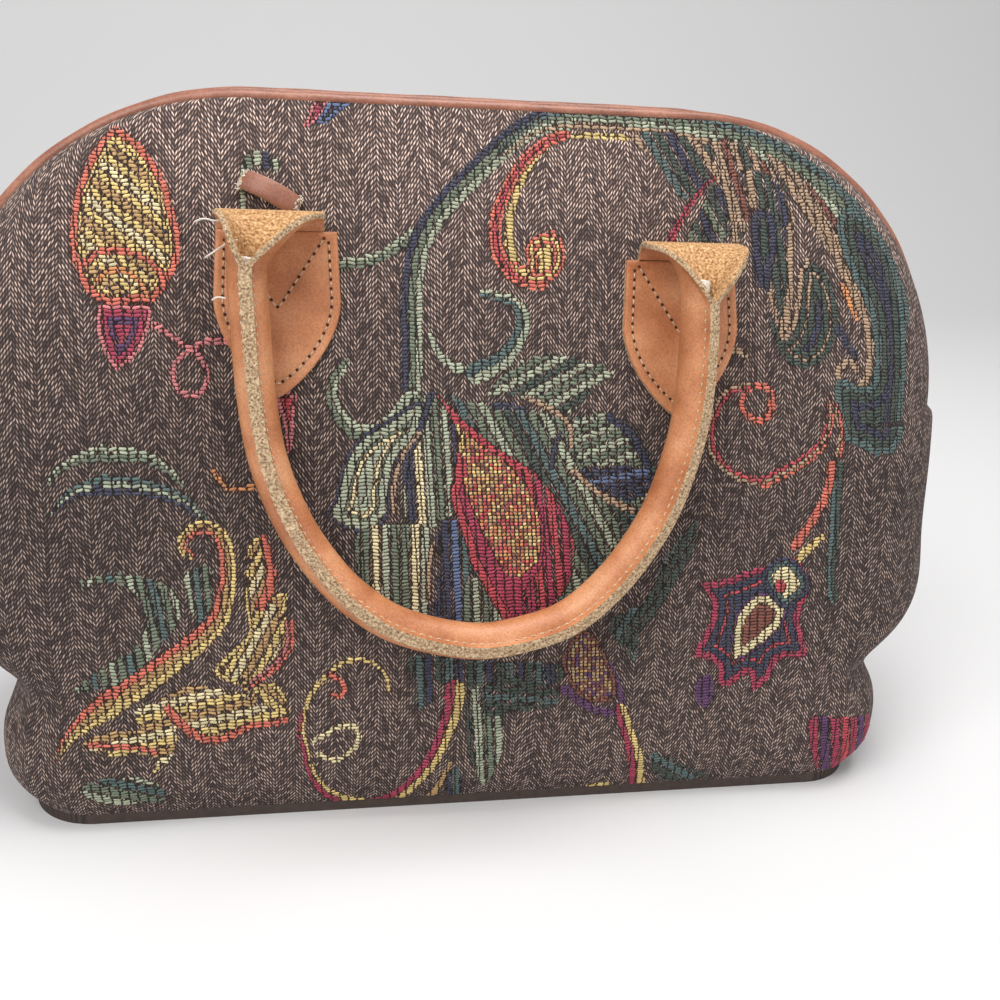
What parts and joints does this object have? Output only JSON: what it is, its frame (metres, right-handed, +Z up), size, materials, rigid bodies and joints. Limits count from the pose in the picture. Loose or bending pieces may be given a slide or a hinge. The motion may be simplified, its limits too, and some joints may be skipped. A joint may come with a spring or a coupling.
{
  "type": "tapestry_handbag",
  "caption": "Dome-top tapestry handbag with a floral weave, leather piping, a zip over the dome and rolled leather handles that hang down on both sides",
  "frame": {"origin": "centre of the base, on the surface that the bag stands on", "axes": "+X across the width, -Y is the front with the keeper loop, +Z up"},
  "size_m": [0.3809, 0.186, 0.2547],
  "materials": {
    "tapestry": "woven",
    "lining_cloth": "matte",
    "board": "matte",
    "piping_leather": "satin",
    "handle_leather": "satin",
    "keeper_leather": "worn",
    "zip_tape": "woven",
    "zip_metal": "dull",
    "handle_core": "matte"
  },
  "bodies": {
    "bag": {"front_panel": "tapestry", "back_panel": "tapestry", "lining": "lining_cloth", "base_panel": "tapestry", "base_board": "board", "front_piping": "piping_leather", "back_piping": "piping_leather", "front_zip_tape": "zip_tape", "back_zip_tape": "zip_tape", "front_zip_teeth": "zip_metal", "back_zip_teeth": "zip_metal", "left_zip_stop": "zip_metal", "right_zip_stop": "zip_metal", "left_zip_end_tab": "piping_leather", "right_zip_end_tab": "piping_leather", "keeper_loop": "keeper_leather", "front_left_patch": "handle_leather", "front_right_patch": "handle_leather", "back_left_patch": "handle_leather", "back_right_patch": "handle_leather"},
    "zip_slider_body": {"zip_slider": "zip_metal"},
    "zip_pull_body": {"zip_pull": "zip_metal"},
    "front_handle_body": {"front_handle": "handle_leather", "front_handle_core": "handle_core"},
    "back_handle_body": {"back_handle": "handle_leather", "back_handle_core": "handle_core"}
  },
  "joints": [
    {"name": "front_handle_swing", "type": "hinge", "parent": "bag", "child": "front_handle_body", "pos_m": [0, -0.04732, 0.21948], "axis": [-1, 0, 0], "range_deg": [0, 145]},
    {"name": "back_handle_swing", "type": "hinge", "parent": "bag", "child": "back_handle_body", "pos_m": [0, 0.04732, 0.21948], "axis": [1, 0, 0], "range_deg": [0, 145]},
    {"name": "zip_slider_travel", "type": "hinge", "parent": "bag", "child": "zip_slider_body", "pos_m": [0.08, 0, 0.148], "axis": [0, -1, 0], "range_deg": [0, 88]},
    {"name": "zip_pull_swing", "type": "hinge", "parent": "zip_slider_body", "child": "zip_pull_body", "pos_m": [0.1905, 0, 0.148], "axis": [0, -1, 0], "range_deg": [0, 170]}
  ]
}
